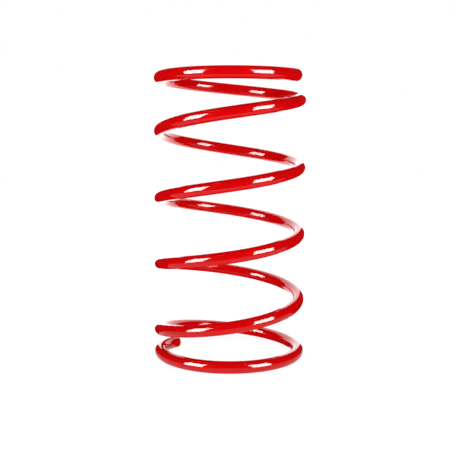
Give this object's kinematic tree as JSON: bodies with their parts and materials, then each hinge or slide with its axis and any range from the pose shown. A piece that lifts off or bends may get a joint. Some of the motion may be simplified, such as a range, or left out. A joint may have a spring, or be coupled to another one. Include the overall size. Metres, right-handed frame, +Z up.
{
  "type": "coil spring",
  "caption": "Cylindrical steel suspension coil spring with flat closed ends, glossy red paint; it shortens as the wire twists.",
  "frame": {"origin": "middle of the bounding box at the floor the lower end coil stands on", "axes": "+Z up along the spring's axis; +X towards the side the upper wire end is on, -Y the side seen from the front"},
  "size_m": [0.154, 0.154, 0.2907],
  "materials": {
    "red_paint": "gloss powder coat"
  },
  "bodies": {
    "lower_end_coil": {"lower_end_coil": "red_paint"},
    "coil_1_quarter_1": {"coil_1_quarter_1": "red_paint"},
    "coil_1_quarter_2": {"coil_1_quarter_2": "red_paint"},
    "coil_1_quarter_3": {"coil_1_quarter_3": "red_paint"},
    "coil_1_quarter_4": {"coil_1_quarter_4": "red_paint"},
    "coil_2_quarter_1": {"coil_2_quarter_1": "red_paint"},
    "coil_2_quarter_2": {"coil_2_quarter_2": "red_paint"},
    "coil_2_quarter_3": {"coil_2_quarter_3": "red_paint"},
    "coil_2_quarter_4": {"coil_2_quarter_4": "red_paint"},
    "coil_3_quarter_1": {"coil_3_quarter_1": "red_paint"},
    "coil_3_quarter_2": {"coil_3_quarter_2": "red_paint"},
    "coil_3_quarter_3": {"coil_3_quarter_3": "red_paint"},
    "coil_3_quarter_4": {"coil_3_quarter_4": "red_paint"},
    "coil_4_quarter_1": {"coil_4_quarter_1": "red_paint"},
    "coil_4_quarter_2": {"coil_4_quarter_2": "red_paint"},
    "coil_4_quarter_3": {"coil_4_quarter_3": "red_paint"},
    "coil_4_quarter_4": {"coil_4_quarter_4": "red_paint"},
    "coil_5_quarter_1": {"coil_5_quarter_1": "red_paint"},
    "upper_end_coil": {"upper_end_coil": "red_paint"}
  },
  "joints": [
    {"name": "compression", "type": "hinge", "parent": "lower_end_coil", "child": "coil_1_quarter_1", "pos_m": [0.03485, 0.06186, 0.00867], "axis": [0.8691, -0.4897, -0.0697], "range_deg": [0, 2.15], "stiffness_Nm_per_rad": 5790},
    {"name": "wire_twist_02", "type": "hinge", "parent": "coil_1_quarter_1", "child": "coil_1_quarter_2", "pos_m": [-0.06186, 0.03485, 0.02204], "axis": [0.4854, 0.8615, -0.1492], "range_deg": [0, 4.3], "stiffness_Nm_per_rad": 2895},
    {"name": "wire_twist_03", "type": "hinge", "parent": "coil_1_quarter_2", "child": "coil_1_quarter_3", "pos_m": [-0.03485, -0.06186, 0.03889], "axis": [-0.8614, 0.4854, -0.1494], "range_deg": [0, 6.45], "stiffness_Nm_per_rad": 1930},
    {"name": "wire_twist_04", "type": "hinge", "parent": "coil_1_quarter_3", "child": "coil_1_quarter_4", "pos_m": [0.06186, -0.03485, 0.05574], "axis": [-0.4854, -0.8614, -0.1494], "range_deg": [0, 8.6], "stiffness_Nm_per_rad": 1447.5},
    {"name": "wire_twist_05", "type": "hinge", "parent": "coil_1_quarter_4", "child": "coil_2_quarter_1", "pos_m": [0.03485, 0.06186, 0.07259], "axis": [0.8614, -0.4854, -0.1494], "range_deg": [0, 8.6], "stiffness_Nm_per_rad": 1447.5},
    {"name": "wire_twist_06", "type": "hinge", "parent": "coil_2_quarter_1", "child": "coil_2_quarter_2", "pos_m": [-0.06186, 0.03485, 0.08944], "axis": [0.4854, 0.8614, -0.1494], "range_deg": [0, 8.6], "stiffness_Nm_per_rad": 1447.5},
    {"name": "wire_twist_07", "type": "hinge", "parent": "coil_2_quarter_2", "child": "coil_2_quarter_3", "pos_m": [-0.03485, -0.06186, 0.10629], "axis": [-0.8614, 0.4854, -0.1494], "range_deg": [0, 8.6], "stiffness_Nm_per_rad": 1447.5},
    {"name": "wire_twist_08", "type": "hinge", "parent": "coil_2_quarter_3", "child": "coil_2_quarter_4", "pos_m": [0.06186, -0.03485, 0.12314], "axis": [-0.4854, -0.8614, -0.1494], "range_deg": [0, 8.6], "stiffness_Nm_per_rad": 1447.5},
    {"name": "wire_twist_09", "type": "hinge", "parent": "coil_2_quarter_4", "child": "coil_3_quarter_1", "pos_m": [0.03485, 0.06186, 0.13999], "axis": [0.8614, -0.4854, -0.1494], "range_deg": [0, 8.6], "stiffness_Nm_per_rad": 1447.5},
    {"name": "wire_twist_10", "type": "hinge", "parent": "coil_3_quarter_1", "child": "coil_3_quarter_2", "pos_m": [-0.06186, 0.03485, 0.15684], "axis": [0.4854, 0.8614, -0.1494], "range_deg": [0, 8.6], "stiffness_Nm_per_rad": 1447.5},
    {"name": "wire_twist_11", "type": "hinge", "parent": "coil_3_quarter_2", "child": "coil_3_quarter_3", "pos_m": [-0.03485, -0.06186, 0.17369], "axis": [-0.8614, 0.4854, -0.1494], "range_deg": [0, 8.6], "stiffness_Nm_per_rad": 1447.5},
    {"name": "wire_twist_12", "type": "hinge", "parent": "coil_3_quarter_3", "child": "coil_3_quarter_4", "pos_m": [0.06186, -0.03485, 0.19054], "axis": [-0.4854, -0.8614, -0.1494], "range_deg": [0, 8.6], "stiffness_Nm_per_rad": 1447.5},
    {"name": "wire_twist_13", "type": "hinge", "parent": "coil_3_quarter_4", "child": "coil_4_quarter_1", "pos_m": [0.03485, 0.06186, 0.20739], "axis": [0.8614, -0.4854, -0.1494], "range_deg": [0, 8.6], "stiffness_Nm_per_rad": 1447.5},
    {"name": "wire_twist_14", "type": "hinge", "parent": "coil_4_quarter_1", "child": "coil_4_quarter_2", "pos_m": [-0.06186, 0.03485, 0.22424], "axis": [0.4854, 0.8614, -0.1494], "range_deg": [0, 8.6], "stiffness_Nm_per_rad": 1447.5},
    {"name": "wire_twist_15", "type": "hinge", "parent": "coil_4_quarter_2", "child": "coil_4_quarter_3", "pos_m": [-0.03485, -0.06186, 0.24109], "axis": [-0.8614, 0.4854, -0.1494], "range_deg": [0, 8.6], "stiffness_Nm_per_rad": 1447.5},
    {"name": "wire_twist_16", "type": "hinge", "parent": "coil_4_quarter_3", "child": "coil_4_quarter_4", "pos_m": [0.06186, -0.03485, 0.25794], "axis": [-0.4854, -0.8614, -0.1494], "range_deg": [0, 6.45], "stiffness_Nm_per_rad": 1930},
    {"name": "wire_twist_17", "type": "hinge", "parent": "coil_4_quarter_4", "child": "coil_5_quarter_1", "pos_m": [0.03485, 0.06186, 0.27439], "axis": [0.864, -0.4868, -0.1286], "range_deg": [0, 4.3], "stiffness_Nm_per_rad": 2895},
    {"name": "wire_twist_18", "type": "hinge", "parent": "coil_5_quarter_1", "child": "upper_end_coil", "pos_m": [-0.06186, 0.03485, 0.28291], "axis": [0.4908, 0.871, -0.0228], "range_deg": [0, 2.15], "stiffness_Nm_per_rad": 5790}
  ],
  "couplings": [
    {"joint": "wire_twist_02", "follows": "compression", "ratio": 2},
    {"joint": "wire_twist_03", "follows": "compression", "ratio": 3},
    {"joint": "wire_twist_04", "follows": "compression", "ratio": 4},
    {"joint": "wire_twist_05", "follows": "compression", "ratio": 4},
    {"joint": "wire_twist_06", "follows": "compression", "ratio": 4},
    {"joint": "wire_twist_07", "follows": "compression", "ratio": 4},
    {"joint": "wire_twist_08", "follows": "compression", "ratio": 4},
    {"joint": "wire_twist_09", "follows": "compression", "ratio": 4},
    {"joint": "wire_twist_10", "follows": "compression", "ratio": 4},
    {"joint": "wire_twist_11", "follows": "compression", "ratio": 4},
    {"joint": "wire_twist_12", "follows": "compression", "ratio": 4},
    {"joint": "wire_twist_13", "follows": "compression", "ratio": 4},
    {"joint": "wire_twist_14", "follows": "compression", "ratio": 4},
    {"joint": "wire_twist_15", "follows": "compression", "ratio": 4},
    {"joint": "wire_twist_16", "follows": "compression", "ratio": 3},
    {"joint": "wire_twist_17", "follows": "compression", "ratio": 2},
    {"joint": "wire_twist_18", "follows": "compression", "ratio": 1}
  ]
}
